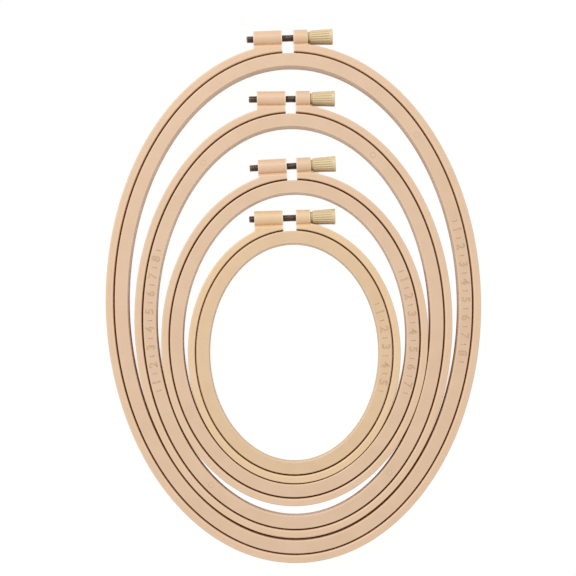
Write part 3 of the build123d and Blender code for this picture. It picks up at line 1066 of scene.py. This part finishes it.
for hoop in hoops:
    face = hoop.knob_face()
    neck = face - KNOB_NECK_LENGTH
    end = face + KNOB_LENGTH
    flare = (KNOB_FAR_RADIUS - KNOB_NEAR_RADIUS) / KNOB_LENGTH
    stations = [COLLAR, COLLAR + GROOVE_RUN_OUT / 2, COLLAR + GROOVE_RUN_OUT]
    stations += [KNOB_LENGTH / 4, KNOB_LENGTH / 2, KNOB_LENGTH * 3 / 4]
    rim_start = KNOB_LENGTH - RIM
    stations += [rim_start - GROOVE_RUN_OUT, rim_start - GROOVE_RUN_OUT / 2, rim_start]
    step_radius = KNOB_NEAR_RADIUS - KNOB_STEP
    outline = [(neck, 0), (neck, KNOB_NECK_RADIUS), (face, KNOB_NECK_RADIUS), (face, step_radius)]
    outline += [(face + KNOB_STEP, step_radius)]
    outline += arc(face + KNOB_STEP + KNOB_EDGE, KNOB_NEAR_RADIUS - KNOB_EDGE, KNOB_EDGE, 180, 90)
    outline += [(face + x, KNOB_NEAR_RADIUS + flare * x) for x in stations]
    outline += arc(end - KNOB_EDGE, KNOB_FAR_RADIUS - KNOB_EDGE, KNOB_EDGE, 90, 0)
    outline += [(end, 0)]
    knob = lathe(f"{hoop.name}_knob_ribbed", outline, RIB_COUNT * SIDES_IN_RIB)
    grow(knob, knob_tree, ribs=float(RIB_COUNT), groove_depth=GROOVE_DEPTH, groove_start=face + COLLAR,
         groove_end=end - RIM, run_out=GROOVE_RUN_OUT, material=knob_plastic)
    knob.data.transform(hoop.clasp())
    finish_shading(knob, KNOB_SHARP_ANGLE)
    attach(knob, f"{hoop.name}_screw")
    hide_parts(f"{hoop.name}_knob")
    print(knob.name, len(knob.data.polygons), "faces")

# %% The thread inserts keep their own shape and get their brass
for hoop in hoops:
    insert = frame["nodes"][f"{hoop.name}_thread_insert"]
    insert.data.materials.clear()
    insert.data.materials.append(insert_brass)

# %% [markdown]
# ## Floor, light and camera
# The set lies on a pale floor, seen from above by a camera a little nearer its lower end, as in the
# photograph. The floor glows white to the camera and lights the set like warm paper. In the narrow
# gaps between two rings it is painted dark, as painted shade. The light is soft and comes from the upper
# left, in a pale room.

# %% Floor
FLOOR_REACH = 2.0
FLOOR_DROP = 0.05 * MM
FLOOR_COLOUR = (0.50, 0.37, 0.26, 1)
FLOOR_GLOW = 1.06
GLOW_SHARE = 0.93
GAP_SHADE_REACH = 6.0 * MM
# The colour of the painted shade in the narrow gaps between rings.
PAINTED_GAP_SHADE = (0.42, 0.20, 0.075, 1)
WHITE = (1, 1, 1, 1)


def make_floor():
    mesh = bpy.data.meshes.new("floor")
    signs = [(-1, -1), (1, -1), (1, 1), (-1, 1)]
    corners = [(FLOOR_REACH * x, FLOOR_REACH * y, -FLOOR_DROP) for x, y in signs]
    mesh.from_pydata(corners, [], [(0, 1, 2, 3)])
    floor = new_object("floor", mesh)
    material, tree, shader = new_material("pale floor")
    shader.inputs["Base Color"].default_value = FLOOR_COLOUR
    shader.inputs["Roughness"].default_value = 0.9
    shader.inputs["Specular IOR Level"].default_value = 0.1
    path = add_node(tree, "ShaderNodeLightPath").outputs
    seen = calculate(tree, "MAXIMUM", path["Is Camera Ray"], path["Is Glossy Ray"])
    seen = calculate(tree, "MULTIPLY", seen, GLOW_SHARE)
    # Painted shade: where rings close the floor in, in the narrow gaps, its glow turns to a dark brown.
    openness = remap(tree, occlusion(tree, GAP_SHADE_REACH, 32), 0.10, 0.20)
    colour = blend_colours(tree, openness, PAINTED_GAP_SHADE, WHITE)
    glow = add_node(tree, "ShaderNodeEmission", {"Color": colour, "Strength": FLOOR_GLOW})
    both = add_node(tree, "ShaderNodeMixShader", {0: seen, 1: shader.outputs[0], 2: glow.outputs[0]})
    tree.links.new(both.outputs[0], tree.nodes["Material Output"].inputs["Surface"])
    mesh.materials.append(material)


make_floor()

# %% Light
def make_world(strength):
    world = bpy.data.worlds.new("room")
    world.use_nodes = True
    tree = world.node_tree
    tree.nodes["Background"].inputs["Color"].default_value = (1.0, 0.98, 0.96, 1)
    tree.nodes["Background"].inputs["Strength"].default_value = strength
    bpy.context.scene.world = world


def area_light(name, place, target, size, watts):
    """A round, soft light that faces its target."""
    data = bpy.data.lights.new(name, "AREA")
    data.shape = "DISK"
    data.size = size
    data.energy = watts
    light = bpy.data.objects.new(name, data)
    light.location = place
    light.rotation_euler = (Vector(target) - Vector(place)).to_track_quat("-Z", "Y").to_euler()
    bpy.context.scene.collection.objects.link(light)


make_world(strength=0.62)
area_light("key light", place=(-0.6, 1.1, 1.5), target=(0, 0.02, 0), size=0.7, watts=15.8)

# %% Camera
# The picture's width in pixels, its scale in the plane of the hoops' front faces, and where the
# origin falls in it. The height and the shift show as much of the inner walls as the photograph does.
PIXELS = 576
PIXELS_IN_MM = 1.79
ORIGIN_PIXEL = (293.4, 295.05)
SENSOR_WIDTH = 36
CAMERA_HEIGHT = 640 * MM
CAMERA_SHIFT = 0.10


def make_camera():
    data = bpy.data.cameras.new("camera")
    width = PIXELS / PIXELS_IN_MM * MM
    data.sensor_width = SENSOR_WIDTH
    data.lens = SENSOR_WIDTH * CAMERA_HEIGHT / width
    data.shift_y = CAMERA_SHIFT
    middle_x = (PIXELS / 2 - ORIGIN_PIXEL[0]) / PIXELS_IN_MM * MM
    middle_y = (ORIGIN_PIXEL[1] - PIXELS / 2) / PIXELS_IN_MM * MM
    camera = bpy.data.objects.new("camera", data)
    # The shift moves the picture up again by as much as the camera stands lower.
    camera.location = (middle_x, middle_y - CAMERA_SHIFT * width, RING_DEPTH + CAMERA_HEIGHT)
    bpy.context.scene.collection.objects.link(camera)
    bpy.context.scene.camera = camera


make_camera()
bpy.context.scene.view_settings.view_transform = "Standard"
